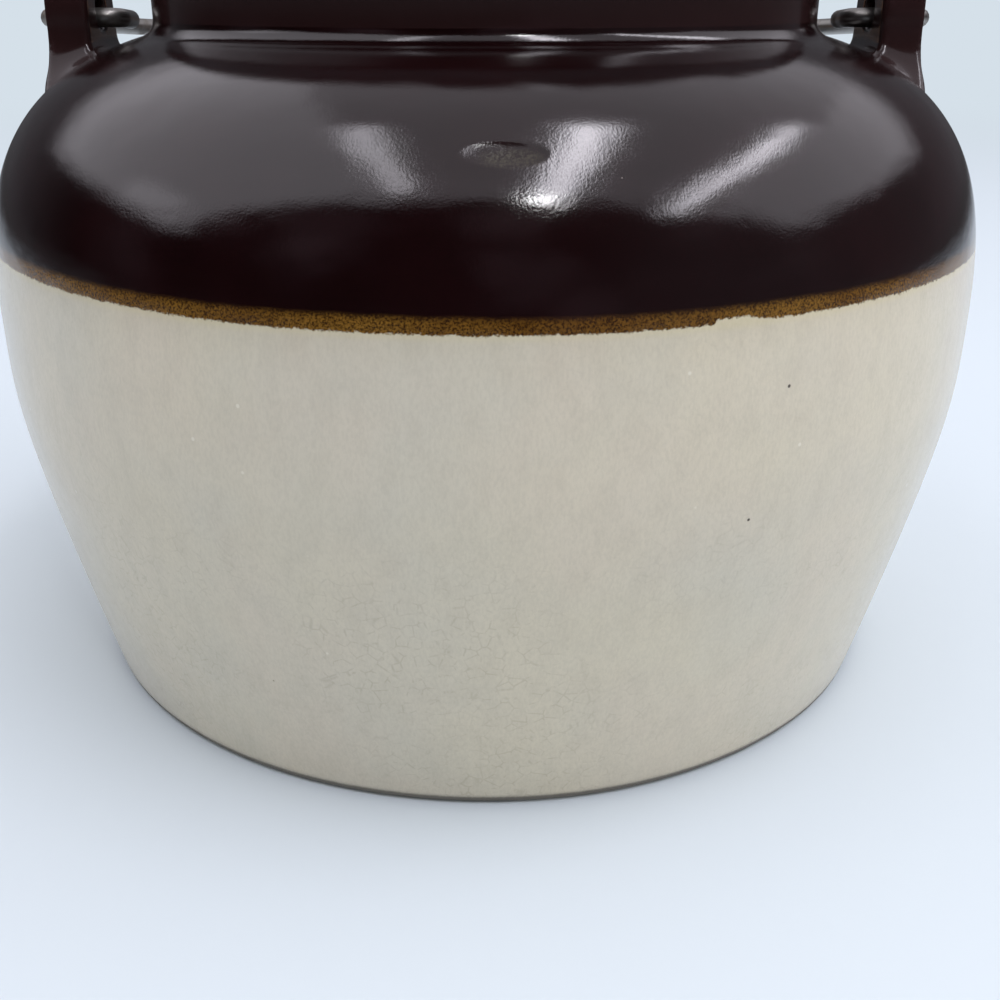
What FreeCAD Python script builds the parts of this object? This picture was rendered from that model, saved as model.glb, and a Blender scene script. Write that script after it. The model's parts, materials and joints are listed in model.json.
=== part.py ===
import FreeCAD
import Part

import math
import os

# A covered stoneware bean pot with a wire bail. Millimetres, +Z up, origin at the centre of the flat base.
# The ears and the bail's hinge lie along X. The bail rests on the back of the shoulder, towards +Y.
# A lean is the angle between a wall and the vertical, in degrees, positive where the wall widens upwards.

# Pot wall, outside
foot_radius = 94.1
foot_lean = 14.0
foot_fullness = 58.0
foot_edge_round = 2.0
belly_radius = 108.0
belly_height = 78.5
belly_fullness_below = 13.5
belly_fullness_above = 21.5
shoulder_height = 135.5
shoulder_lean = 74.0
shoulder_fullness = 35.5

# Pot wall, inside
wall_thickness = 7.0
floor_thickness = 8.0
floor_corner_round = 14.0
throat_round = 4.0

# Neck, rim and the ledge that the lid sits on
mouth_radius = 59.0
ledge_width = 5.5
neck_wall = 6.0
neck_height = 9.0
neck_fillet = 4.0
rim_overhang = 3.5
rim_height = 11.0
rim_round = 3.2
rim_underside_round = 2.5
lid_recess = 8.0
ledge_corner_round = 0.8
ledge_edge_round = 1.5

# Lid
lid_side_gap = 1.2
lid_seat_gap = 0.3
lid_edge_thickness = 6.5
lid_edge_round = 2.4
lid_seat_round = 1.2
lid_seat_width = 9.0
lid_centre_thickness = 6.0
lid_rise = 9.0

# Lid knob
knob_foot_radius = 11.5
knob_foot_round = 0.8
knob_waist_radius = 8.5
knob_waist_height = 4.5
knob_waist_round = 4.0
knob_stem_height = 9.0
knob_head_radius = 17.0
knob_head_height = 7.0
knob_head_round = 3.0
knob_crown_rise = 3.0

# Ears
ear_space = 10.0
ear_thickness = 9.0
ear_half_width = 10.5
ear_root_fillet = 12.0
ear_root_sink = 1.5
ear_edge_round = 2.4
ear_hole_radius = 3.4
ear_hole_rise = 8.5
ear_hole_edge_round = 1.0

# Bail wire
wire_radius = 2.0
wire_seat_gap = 0.3
hook_gap = 1.5
hook_bend = 3.5
hook_length = 10.0
arm_gap = 1.5
arm_bend = 4.0
arch_slope = 48.0
arch_bend = 65.0
grip_end_bend = 6.0

# Wooden grip
grip_length = 90.0
grip_radius = 12.5
grip_barrel_length = 60.0
grip_barrel_end_radius = 10.6
grip_groove_width = 2.6
grip_groove_radius = 8.8
grip_groove_round = 0.6
grip_collar_radius = 10.2
grip_collar_round = 0.8
grip_taper_length = 5.0
grip_taper_round = 4.0
grip_end_radius = 7.6
grip_end_round = 1.2
grip_bore_gap = 0.3
grip_end_gap = 1.0

# The place on the shoulder where the grip rests
grip_rest_gap = 0.3
grip_rest_lean = 45.0

# Rub mark on the front of the shoulder, where the lowered grip touches the glaze
mark_length = 13.0
mark_width = 4.0
mark_depth = 0.5
mark_side_offset = 3.0

# Sizes that follow from those above
rim_inner_radius = mouth_radius + ledge_width
neck_radius = rim_inner_radius + neck_wall
rim_radius = neck_radius + rim_overhang
rim_bottom = shoulder_height + neck_height
rim_top = rim_bottom + rim_height
ledge_top = rim_top - lid_recess
lid_bottom = ledge_top + lid_seat_gap
ear_inner_x = rim_radius + ear_space
ear_outer_x = ear_inner_x + ear_thickness
hook_x = ear_inner_x - hook_gap - wire_radius
arm_x = ear_outer_x + arm_gap + wire_radius

ORIGIN = FreeCAD.Vector(0, 0, 0)
X_AXIS = FreeCAD.Vector(1, 0, 0)
Z_AXIS = FreeCAD.Vector(0, 0, 1)
TINY = 1e-6


def at(radius, height):
    """A point of an outline that is turned about Z."""
    return FreeCAD.Vector(radius, 0, height)


def flat(x, y):
    """A point in the plane of X and Y, for the bail before it is tilted and for what is turned about X."""
    return FreeCAD.Vector(x, y, 0)


def along(lean):
    """The direction up a wall with that lean."""
    return at(math.sin(math.radians(lean)), math.cos(math.radians(lean)))


def outwards(lean):
    """The outward normal of a wall with that lean."""
    return at(math.cos(math.radians(lean)), -math.sin(math.radians(lean)))


def straight(start, end):
    """One straight edge, or none where the two points are the same."""
    if (end - start).Length < TINY:
        return []
    return [Part.makeLine(start, end)]


def rounded_path(points, rounds):
    """Straight edges through the points, with an arc of the given radius at each inner point.

    Two arcs on one edge have half of it each at most.
    """
    edges = []
    start = points[0]
    last = len(points) - 1
    for index, radius in enumerate(rounds, start=1):
        before, corner, after = points[index - 1:index + 2]
        room_before = (corner - before).Length * (1.0 if index == 1 else 0.5)
        room_after = (after - corner).Length * (1.0 if index == last - 1 else 0.5)
        incoming = (corner - before).normalize()
        outgoing = (after - corner).normalize()
        half_turn = incoming.getAngle(outgoing) / 2
        reach = min(radius * math.tan(half_turn), room_before, room_after)
        if reach < TINY:
            edges += straight(start, corner)
            start = corner
            continue
        inwards = (outgoing - incoming).normalize()
        depth = reach / math.tan(half_turn) * (1 / math.cos(half_turn) - 1)
        arc_start = corner - incoming * reach
        arc_end = corner + outgoing * reach
        edges += straight(start, arc_start)
        edges.append(Part.Arc(arc_start, corner + inwards * depth, arc_end).toShape())
        start = arc_end
    return edges + straight(start, points[-1])


def turned(edges, axis=Z_AXIS):
    """The solid that a closed outline sweeps in one turn about an axis through the origin."""
    face = Part.Face(Part.Wire(Part.sortEdges(edges)[0]))
    return face.revolve(ORIGIN, axis, 360)


def sagitta(radius, half_chord):
    """How far an arc rises over a chord."""
    return radius - math.sqrt(radius**2 - half_chord**2)


def arc_radius(half_chord, rise):
    """The radius of the arc with that half chord and rise."""
    return (half_chord**2 + rise**2) / (2 * rise)


def dome_height(radius, edge_radius, rise):
    """How far a dome stands above its edge, at a radius."""
    return rise - sagitta(arc_radius(edge_radius, rise), radius)


def dome_edge(edge_radius, edge_height, rise, inner_radius=0.0):
    """A dome's outline, from its edge in to a radius."""
    radii = [edge_radius, (inner_radius + edge_radius) / 2, inner_radius]
    points = [at(radius, edge_height + dome_height(radius, edge_radius, rise)) for radius in radii]
    return Part.Arc(*points).toShape()


def wall_curve(start, start_lean, start_fullness, end, end_lean, end_fullness):
    """A smooth wall between two points, with its lean and its fullness at each."""
    bezier = Part.BezierCurve()
    start_handle = start + along(start_lean) * start_fullness
    end_handle = end - along(end_lean) * end_fullness
    bezier.setPoles([start, start_handle, end_handle, end])
    return bezier


def foot_centre():
    """The centre of the rounded edge between the base and the wall."""
    return at(foot_radius - foot_edge_round, foot_edge_round)


def shoulder_end():
    """Where the shoulder runs out into the neck's fillet."""
    fillet_width = neck_fillet * (1 - math.cos(math.radians(shoulder_lean)))
    return at(neck_radius + fillet_width, shoulder_height)


def wall_curves(inset=0.0, climb=0.0):
    """The wall's curves below and above the belly, moved inwards by the inset.

    The climb is how far up the foot's slope the lower curve starts.
    """
    foot = foot_centre() + outwards(foot_lean) * (foot_edge_round - inset) + along(foot_lean) * climb
    belly = at(belly_radius - inset, belly_height)
    shoulder = shoulder_end() - outwards(-shoulder_lean) * inset
    lower = wall_curve(foot, foot_lean, foot_fullness - climb, belly, 0, belly_fullness_below)
    upper = wall_curve(belly, 0, belly_fullness_above, shoulder, -shoulder_lean, shoulder_fullness)
    return lower, upper


def on_shoulder(is_lower):
    """The first point up the shoulder's curve that the given test doesn't call lower."""
    upper = wall_curves()[1]
    low = 0.0
    high = 1.0
    for _ in range(50):
        middle = (low + high) / 2
        if is_lower(upper.value(middle), upper.tangent(middle)[0]):
            low = middle
        else:
            high = middle
    return upper.value(high)


def shoulder_at_radius(radius):
    """The point of the shoulder at a radius."""
    return on_shoulder(lambda point, tangent: point.x > radius)


def shoulder_at_lean(lean):
    """The point of the shoulder where it leans inwards by that many degrees."""
    steepness = math.cos(math.radians(lean))
    return on_shoulder(lambda point, tangent: tangent.z / tangent.Length > steepness)


def line_to_radius(start, radius):
    """Where the line of the shoulder's end, through the start, comes to a radius."""
    return at(radius, start.z + (start.x - radius) / math.tan(math.radians(shoulder_lean)))


def outside_edges():
    """The base, its rounded edge and the wall, from the axis to the end of the shoulder."""
    lower, upper = wall_curves()
    centre = foot_centre()
    base_end = at(centre.x, 0)
    round_middle = centre + outwards((90 + foot_lean) / 2) * foot_edge_round
    foot_edge = Part.Arc(base_end, round_middle, lower.value(0)).toShape()
    return straight(ORIGIN, base_end) + [foot_edge, lower.toShape(), upper.toShape()]


def inside_edges():
    """The inner wall, the round at the floor, the floor and the axis, down to the base."""
    foot = wall_curves(wall_thickness)[0].value(0)
    drop_to_corner = (floor_thickness - foot.z) / math.cos(math.radians(foot_lean))
    corner = foot + along(foot_lean) * drop_to_corner
    round_reach = floor_corner_round * math.tan(math.radians(90 - foot_lean) / 2)
    lower, upper = wall_curves(wall_thickness, drop_to_corner + round_reach)
    floor_points = [lower.value(0), corner, at(0, floor_thickness), ORIGIN]
    return [upper.toShape(), lower.toShape()] + rounded_path(floor_points, [floor_corner_round, 0])


def make_pot_body():
    """The pot: base, wall, shoulder, neck and rim, with the lid's ledge and the rub mark."""
    outer_end = shoulder_end()
    inner_end = wall_curves(wall_thickness)[1].value(1)
    neck_edges = rounded_path(
        [
            outer_end,
            line_to_radius(outer_end, neck_radius),
            at(neck_radius, rim_bottom),
            at(rim_radius, rim_bottom + rim_overhang),
            at(rim_radius, rim_top),
            at(rim_inner_radius, rim_top),
            at(rim_inner_radius, ledge_top),
            at(mouth_radius, ledge_top),
            line_to_radius(inner_end, mouth_radius),
            inner_end,
        ],
        [
            neck_fillet,
            rim_underside_round,
            rim_round,
            rim_round,
            rim_round,
            ledge_corner_round,
            ledge_edge_round,
            throat_round,
        ],
    )
    pot = turned(outside_edges() + neck_edges + inside_edges())
    return pot.cut(make_mark_cutter())


def make_mark_cutter():
    """A barrel along X that dips into the front of the shoulder by the mark's depth."""
    middle_radius = arc_radius(mark_width / 2, mark_depth)
    end_radius = middle_radius - 2 * mark_depth
    side = arc_radius(mark_length / 2, mark_depth)
    half_length = math.sqrt(side**2 - (side - 2 * mark_depth) ** 2)
    left = flat(-half_length, end_radius)
    right = flat(half_length, end_radius)
    edges = [Part.Arc(left, flat(0, middle_radius), right).toShape()]
    edges += straight(right, flat(half_length, 0)) + straight(flat(half_length, 0), flat(-half_length, 0))
    edges += straight(flat(-half_length, 0), left)
    cutter = turned(edges, X_AXIS)
    contact = shoulder_at_lean(grip_rest_lean)
    centre = contact + outwards(-grip_rest_lean) * (middle_radius - mark_depth)
    cutter.translate(FreeCAD.Vector(0, -centre.x, centre.z))
    cutter.rotate(ORIGIN, Z_AXIS, math.degrees(mark_side_offset / contact.x))
    return cutter


def make_lid():
    """The lid: a domed disc with a flat seat round its underside and a flat pad for the knob."""
    edge_radius = rim_inner_radius - lid_side_gap
    dome_radius = edge_radius - lid_edge_round
    hollow_radius = edge_radius - lid_seat_width
    edge_top = lid_bottom + lid_edge_thickness
    pad_top = knob_bottom()
    hollow_rise = pad_top - lid_centre_thickness - lid_bottom
    edges = rounded_path(
        [
            at(hollow_radius, lid_bottom),
            at(edge_radius, lid_bottom),
            at(edge_radius, edge_top),
            at(dome_radius, edge_top),
        ],
        [lid_seat_round, lid_edge_round],
    )
    edges.append(dome_edge(dome_radius, edge_top, lid_rise, knob_foot_radius))
    edges += straight(at(knob_foot_radius, pad_top), at(0, pad_top))
    edges += straight(at(0, pad_top), at(0, lid_bottom + hollow_rise))
    edges.append(dome_edge(hollow_radius, lid_bottom, hollow_rise))
    return turned(edges)


def knob_bottom():
    """The height of the flat pad on the lid's dome, where the knob stands."""
    dome_radius = rim_inner_radius - lid_side_gap - lid_edge_round
    return lid_bottom + lid_edge_thickness + dome_height(knob_foot_radius, dome_radius, lid_rise)


def make_lid_knob():
    """The lid's knob: a waisted stem and a head with a low crown."""
    bottom = knob_bottom()
    head_bottom = bottom + knob_stem_height
    head_top = head_bottom + knob_head_height
    crown_radius = knob_head_radius - knob_head_round
    edges = rounded_path(
        [
            at(0, bottom),
            at(knob_foot_radius, bottom),
            at(knob_waist_radius, bottom + knob_waist_height),
            at(knob_head_radius, head_bottom),
            at(knob_head_radius, head_top),
            at(crown_radius, head_top),
        ],
        [knob_foot_round, knob_waist_round, knob_head_round, knob_head_round],
    )
    edges.append(dome_edge(crown_radius, head_top, knob_crown_rise))
    edges += straight(at(0, head_top + knob_crown_rise), at(0, bottom))
    return turned(edges)


def ear_hole_height():
    """The height of the ear holes' axis."""
    return shoulder_at_radius(ear_inner_x).z + ear_hole_rise


def filled_pot():
    """The pot's outside up to the neck, filled, which the ears are shaped to."""
    outer_end = shoulder_end()
    neck_top = at(neck_radius, rim_bottom)
    neck_points = [outer_end, line_to_radius(outer_end, neck_radius), neck_top]
    edges = outside_edges() + rounded_path(neck_points, [neck_fillet])
    edges += straight(neck_top, at(0, rim_bottom)) + straight(at(0, rim_bottom), ORIGIN)
    return turned(edges)


def make_ear(turn):
    """An ear: an upright lug with a round top, a spread root and the bail's hole, turned about the pot."""
    hole_height = ear_hole_height()
    top = hole_height + ear_half_width
    root_half_width = ear_half_width + ear_root_fillet
    root = shoulder_at_radius(math.hypot(ear_outer_x, root_half_width)).z - ear_root_sink
    outline = [
        (-root_half_width, root),
        (-ear_half_width, root),
        (-ear_half_width, top),
        (ear_half_width, top),
        (ear_half_width, root),
        (root_half_width, root),
    ]
    points = [FreeCAD.Vector(ear_inner_x, y, z) for y, z in outline]
    edges = rounded_path(points, [ear_root_fillet, ear_half_width, ear_half_width, ear_root_fillet])
    below_right = points[-1] - Z_AXIS * ear_root_sink
    below_left = points[0] - Z_AXIS * ear_root_sink
    edges += straight(points[-1], below_right) + straight(below_right, below_left)
    edges += straight(below_left, points[0])
    lug = Part.Face(Part.Wire(Part.sortEdges(edges)[0])).extrude(X_AXIS * ear_thickness)
    rims = [edge for edge in lug.Edges if edge.BoundBox.XLength < TINY and edge.CenterOfMass.z > root]
    lug = lug.makeFillet(ear_edge_round, rims)
    hole_start = FreeCAD.Vector(ear_inner_x, 0, hole_height)
    lug = lug.cut(Part.makeCylinder(ear_hole_radius, ear_thickness, hole_start, X_AXIS))
    hole_edges = [edge for edge in lug.Edges if is_hole_edge(edge)]
    lug = lug.makeFillet(ear_hole_edge_round, hole_edges)
    ear = lug.cut(filled_pot())
    ear.rotate(ORIGIN, Z_AXIS, turn)
    return ear


def is_hole_edge(edge):
    """Whether an edge is one of the circles where an ear's hole comes out."""
    is_circle = isinstance(edge.Curve, Part.Circle) and edge.isClosed()
    return is_circle and abs(edge.Curve.Radius - ear_hole_radius) < TINY


def hinge_height():
    """The height of the bail's hinge, with the wire lying at the bottom of the ear holes."""
    return ear_hole_height() - (ear_hole_radius - wire_radius - wire_seat_gap)


def grip_rest():
    """The grip's centre where it rests on the back of the shoulder, as a radius and a height."""
    contact = shoulder_at_lean(grip_rest_lean)
    return contact + outwards(-grip_rest_lean) * (grip_radius + grip_rest_gap)


def bail_reach():
    """The distance from the hinge to the grip's centre line."""
    rest = grip_rest()
    return math.hypot(rest.x, hinge_height() - rest.z)


def bail_droop():
    """How far below the horizontal the resting bail lies, in degrees."""
    rest = grip_rest()
    return math.degrees(math.atan2(hinge_height() - rest.z, rest.x))


def at_rest(shape):
    """A shape drawn flat about the hinge line, tilted and lifted to where the bail rests."""
    shape.rotate(ORIGIN, X_AXIS, -bail_droop())
    shape.translate(FreeCAD.Vector(0, 0, hinge_height()))
    return shape


def make_bail_wire():
    """The bail: one wire that hooks through both ears, arches to the grip and runs through it."""
    reach = bail_reach()
    grip_corner_x = grip_length / 2 + grip_end_gap + grip_end_bend * math.tan(math.radians(arch_slope) / 2)
    arch_drop = (arm_x - grip_corner_x) * math.tan(math.radians(arch_slope))
    right_side = [
        (hook_x, hook_length),
        (hook_x, 0),
        (arm_x, 0),
        (arm_x, reach - arch_drop),
        (grip_corner_x, reach),
    ]
    left_side = [(-x, y) for x, y in reversed(right_side)]
    points = [flat(x, y) for x, y in right_side + left_side]
    bends = [hook_bend, arm_bend, arch_bend, grip_end_bend]
    path = Part.Wire(rounded_path(points, bends + bends[::-1]))
    section = Part.Wire(Part.makeCircle(wire_radius, points[0], flat(0, 1)))
    wire = path.makePipeShell([section], True, False)
    print("bail wire length", round(path.Length, 2), "volume over section times length",
          round(wire.Volume / (path.Length * math.pi * wire_radius**2), 5))
    return at_rest(wire)


def make_grip():
    """The grip: a turned wooden barrel with a groove and a collar at each end, bored for the wire."""
    half_length = grip_length / 2
    barrel_end = grip_barrel_length / 2
    groove_middle = barrel_end + grip_groove_width / 2
    groove_end = barrel_end + grip_groove_width
    taper_start = half_length - grip_taper_length
    bore_radius = wire_radius + grip_bore_gap
    right_end = [
        flat(barrel_end, grip_barrel_end_radius),
        flat(groove_middle, grip_groove_radius),
        flat(groove_end, grip_collar_radius),
        flat(taper_start, grip_collar_radius),
        flat(half_length, grip_end_radius),
        flat(half_length, bore_radius),
    ]
    rounds = [grip_groove_round, grip_collar_round, grip_taper_round, grip_end_round]
    left_end = [flat(-point.x, point.y) for point in right_end]
    edges = rounded_path(right_end, rounds) + rounded_path(left_end, rounds)
    edges.append(Part.Arc(left_end[0], flat(0, grip_radius), right_end[0]).toShape())
    edges += straight(right_end[-1], left_end[-1])
    grip = turned(edges, X_AXIS)
    grip.translate(flat(0, bail_reach()))
    return at_rest(grip)


parts = {
    "pot_body": make_pot_body(),
    "ear_right": make_ear(0),
    "ear_left": make_ear(180),
    "lid": make_lid(),
    "lid_knob": make_lid_knob(),
    "bail_wire": make_bail_wire(),
    "grip": make_grip(),
}

os.makedirs("parts", exist_ok=True)
for name, shape in parts.items():
    shape.exportStep("parts/" + name + ".step")
    box = shape.BoundBox
    print(name, len(shape.Solids), "solid,", round(shape.Volume), "mm3, valid", shape.isValid(),
          [round(value, 2) for value in (box.XMin, box.XMax, box.YMin, box.YMax, box.ZMin, box.ZMax)])

rest = grip_rest()
print("hinge height", round(hinge_height(), 3), "reach", round(bail_reach(), 3))
print("droop", round(bail_droop(), 4), "swing", round(180 + 2 * bail_droop(), 3))
print("grip centre at rest", round(rest.x, 3), round(rest.z, 3), "knob bottom", round(knob_bottom(), 3))
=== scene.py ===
"""A covered stoneware bean pot with a wire bail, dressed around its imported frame."""

import json
import math

import bmesh
import bpy
from mathutils import Matrix, Vector, noise
from mathutils.geometry import interpolate_bezier
from mathutils.kdtree import KDTree


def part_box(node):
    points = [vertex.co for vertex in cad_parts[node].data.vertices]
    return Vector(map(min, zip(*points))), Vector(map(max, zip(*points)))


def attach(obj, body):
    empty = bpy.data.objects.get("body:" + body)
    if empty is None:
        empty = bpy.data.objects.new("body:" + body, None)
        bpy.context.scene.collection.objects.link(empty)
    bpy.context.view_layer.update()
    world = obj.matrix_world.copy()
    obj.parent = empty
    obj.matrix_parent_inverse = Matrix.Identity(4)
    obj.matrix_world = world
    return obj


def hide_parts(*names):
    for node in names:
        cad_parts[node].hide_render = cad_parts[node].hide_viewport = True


bl_info = {
    "name": "Stoneware bean pot",
    "version": (1, 0, 0),
    "blender": (4, 5, 0),
    "location": "3D View > Sidebar > Bean pot",
    "description": "Builds a two-tone glazed bean pot with its lid, ears, bail and grip",
    "category": "Object",
}

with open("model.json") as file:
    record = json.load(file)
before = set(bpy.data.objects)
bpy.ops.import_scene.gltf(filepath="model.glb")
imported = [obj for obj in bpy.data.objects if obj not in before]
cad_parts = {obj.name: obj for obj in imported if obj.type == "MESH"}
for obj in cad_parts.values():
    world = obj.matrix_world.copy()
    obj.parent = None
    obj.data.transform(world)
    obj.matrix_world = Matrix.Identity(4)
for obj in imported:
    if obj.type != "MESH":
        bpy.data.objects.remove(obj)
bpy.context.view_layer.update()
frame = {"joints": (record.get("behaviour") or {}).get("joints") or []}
JOINTS = {joint["name"]: joint for joint in frame["joints"]}
HINGE = Vector(JOINTS["bail_swing"]["pos_m"])
GRIP_CENTRE = Vector(JOINTS["grip_spin"]["pos_m"])
DROOP = math.atan2(HINGE.z - GRIP_CENTRE.z, GRIP_CENTRE.y)
REACH = math.hypot(HINGE.z - GRIP_CENTRE.z, GRIP_CENTRE.y)
MM = 0.001
FULL_TURN = 2 * math.pi
TINY = 1e-6
FOOT_LEAN = 14.0
SHOULDER_LEAN = 74.0
EAR_STAND_OFF = 10.0 * MM
EAR_THICKNESS = 9.0 * MM
EAR_ROOT_FILLET = 12.0 * MM
KNOB_FOOT_RADIUS = 11.5 * MM
GRIP_HALF_LENGTH = 45.0 * MM
GRIP_BARREL_HALF = 30.0 * MM
MARK_CENTRE = Vector((2.6 * MM, -96.2 * MM, 121.8 * MM))
GLAZE_IOR = 1.72
DUST_GREY = (150, 140, 135)
BACKDROP_SEEN = (213, 224, 233)


def linear(red, green, blue):
    """A colour given as it looks on a screen, from 0 to 255, as the light that it stands for."""
    shares = [value / 255 for value in (red, green, blue)]
    return tuple(s / 12.92 if s <= 0.04045 else ((s + 0.055) / 1.055) ** 2.4 for s in shares)


def length(name, default, description):
    """A length that a user may set, in metres."""
    return bpy.props.FloatProperty(
        name=name, description=description, default=default, min=0.0, unit="LENGTH", precision=4
    )


def colour(name, default, description):
    """A colour that a user may set."""
    return bpy.props.FloatVectorProperty(
        name=name, description=description, default=default, min=0.0, max=1.0, subtype="COLOR"
    )


# The sizes and colours that a user would change


class BeanPotShape(bpy.types.PropertyGroup):
    """The pot's wall, neck, lid, knob, ears, bail and grip, as they were thrown, cut and bent."""

    foot_radius: length("Foot radius", 94.1 * MM, "Radius of the pot at its foot")
    foot_round: length("Foot round", 2.0 * MM, "Round between the base and the wall")
    belly_radius: length("Belly radius", 108.0 * MM, "Largest radius of the wall")
    belly_height: length("Belly height", 78.5 * MM, "Height of the widest place")
    shoulder_height: length("Shoulder height", 135.5 * MM, "Height where the shoulder meets the neck")
    wall: length("Wall thickness", 7.0 * MM, "Thickness of the wall")
    floor: length("Floor thickness", 8.0 * MM, "Thickness of the floor")
    mouth_radius: length("Mouth radius", 59.0 * MM, "Radius of the opening below the lid")
    ledge_width: length("Ledge width", 5.5 * MM, "Width of the ledge that carries the lid")
    neck_wall: length("Neck wall", 6.0 * MM, "Thickness of the neck beside the lid")
    neck_height: length("Neck height", 9.0 * MM, "Height of the neck under the rim")
    rim_overhang: length("Rim overhang", 3.5 * MM, "How far the rim stands out from the neck")
    rim_height: length("Rim height", 11.0 * MM, "Height of the rim")
    lid_recess: length("Lid recess", 8.0 * MM, "Depth of the ledge below the rim")
    lid_edge: length("Lid edge", 6.5 * MM, "Thickness of the lid at its edge")
    lid_rise: length("Lid rise", 9.0 * MM, "Height of the lid's dome")
    knob_radius: length("Knob radius", 17.0 * MM, "Radius of the lid's knob")
    ear_half_width: length("Ear half width", 10.5 * MM, "Half the width of an ear")
    ear_hole_radius: length("Ear hole radius", 3.4 * MM, "Radius of the hole for the bail")
    wire_radius: length("Wire radius", 2.0 * MM, "Radius of the bail wire")
    grip_radius: length("Grip radius", 12.5 * MM, "Largest radius of the wooden grip")


class BeanPotFinish(bpy.types.PropertyGroup):
    """The colours of the glazes, the bare clay, the wire and the wood, and where the glazes meet."""

    brown: colour("Brown glaze", linear(19, 5, 6), "Near-black red-brown glaze of the upper part")
    rust: colour("Thin glaze", linear(116, 56, 27), "Brown glaze where it runs thin over an edge")
    amber: colour("Band", linear(128, 92, 34), "Band where the brown glaze lies over the cream")
    cream: colour("Cream glaze", linear(207, 197, 173), "Warm cream glaze of the lower part")
    cream_grey: colour("Cream shade", linear(200, 193, 174), "Greyer clouds in the cream glaze")
    clay: colour("Bare clay", linear(150, 132, 108), "Unglazed clay of the base and the lid's seat")
    wood: colour("Wood", linear(152, 106, 64), "Light grain of the grip")
    wood_dark: colour("Dark grain", linear(94, 57, 31), "Dark grain of the grip")
    steel: colour("Wire", linear(150, 148, 144), "Dull drawn steel of the bail")
    backdrop: colour("Backdrop", linear(209, 219, 225), "Floor and background")
    band_bottom: length("Band bottom", 97.0 * MM, "Height where the cream glaze starts")
    band_top: length("Band top", 99.2 * MM, "Height where the full brown glaze starts")


def shape():
    """The pot's shape settings."""
    return bpy.context.scene.bean_pot_shape


def finish():
    """The pot's finish settings."""
    return bpy.context.scene.bean_pot_finish


# Outlines


def at(radius, height):
    """A point of an outline that is turned about Z."""
    return Vector((radius, 0.0, height))


def along(lean):
    """The direction up a wall that leans outwards by that many degrees."""
    return at(math.sin(math.radians(lean)), math.cos(math.radians(lean)))


def outwards(lean):
    """The outward normal of a wall with that lean."""
    return at(math.cos(math.radians(lean)), -math.sin(math.radians(lean)))


def corner_arc(before, corner, after, radius, steps):
    """The points of the arc that rounds a corner."""
    incoming = (corner - before).normalized()
    outgoing = (after - corner).normalized()
    half_turn = incoming.angle(outgoing) / 2
    reach = radius * math.tan(half_turn)
    start = corner - incoming * reach
    end = corner + outgoing * reach
    handle = 4 / 3 * math.tan(half_turn / 2) * radius
    return interpolate_bezier(start, start + incoming * handle, end - outgoing * handle, end, steps)


def rounded(points, rounds, steps=8):
    """The points of a path with its inner corners rounded."""
    path = [points[0]]
    for index, radius in enumerate(rounds, start=1):
        if radius > 0:
            path += corner_arc(*points[index - 1:index + 2], radius, steps)
        else:
            path.append(points[index])
    return path + [points[-1]]


def spaced(points, spacing):
    """The same path with its long straight runs cut into steps no longer than the spacing."""
    path = [points[0]]
    for start, end in zip(points, points[1:]):
        run = (end - start).length
        if run < TINY:
            continue
        cuts = max(1, math.ceil(run / spacing))
        path += [start.lerp(end, step / cuts) for step in range(1, cuts + 1)]
    return path


def wall_points(inset, lower_steps, upper_steps, climb=0.0):
    """The wall's outline from foot to shoulder, moved inwards by the inset."""
    pot = shape()
    neck_fillet = 4.0 * MM
    foot_fullness = 58.0 * MM
    fullness_below_belly, fullness_above_belly = 13.5 * MM, 21.5 * MM
    shoulder_fullness = 35.5 * MM
    foot_centre = at(foot_base_radius(), pot.foot_round)
    foot = foot_centre + outwards(FOOT_LEAN) * (pot.foot_round - inset) + along(FOOT_LEAN) * climb
    belly = at(pot.belly_radius - inset, pot.belly_height)
    shoulder_radius = neck_radius() + neck_fillet * (1 - math.cos(math.radians(SHOULDER_LEAN)))
    shoulder = at(shoulder_radius, pot.shoulder_height) - outwards(-SHOULDER_LEAN) * inset
    foot_handle = foot + along(FOOT_LEAN) * (foot_fullness - climb)
    belly_handle_below = belly - along(0) * fullness_below_belly
    belly_handle_above = belly + along(0) * fullness_above_belly
    shoulder_handle = shoulder - along(-SHOULDER_LEAN) * shoulder_fullness
    lower = interpolate_bezier(foot, foot_handle, belly_handle_below, belly, lower_steps)
    upper = interpolate_bezier(belly, belly_handle_above, shoulder_handle, shoulder, upper_steps)
    return lower, upper


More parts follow.
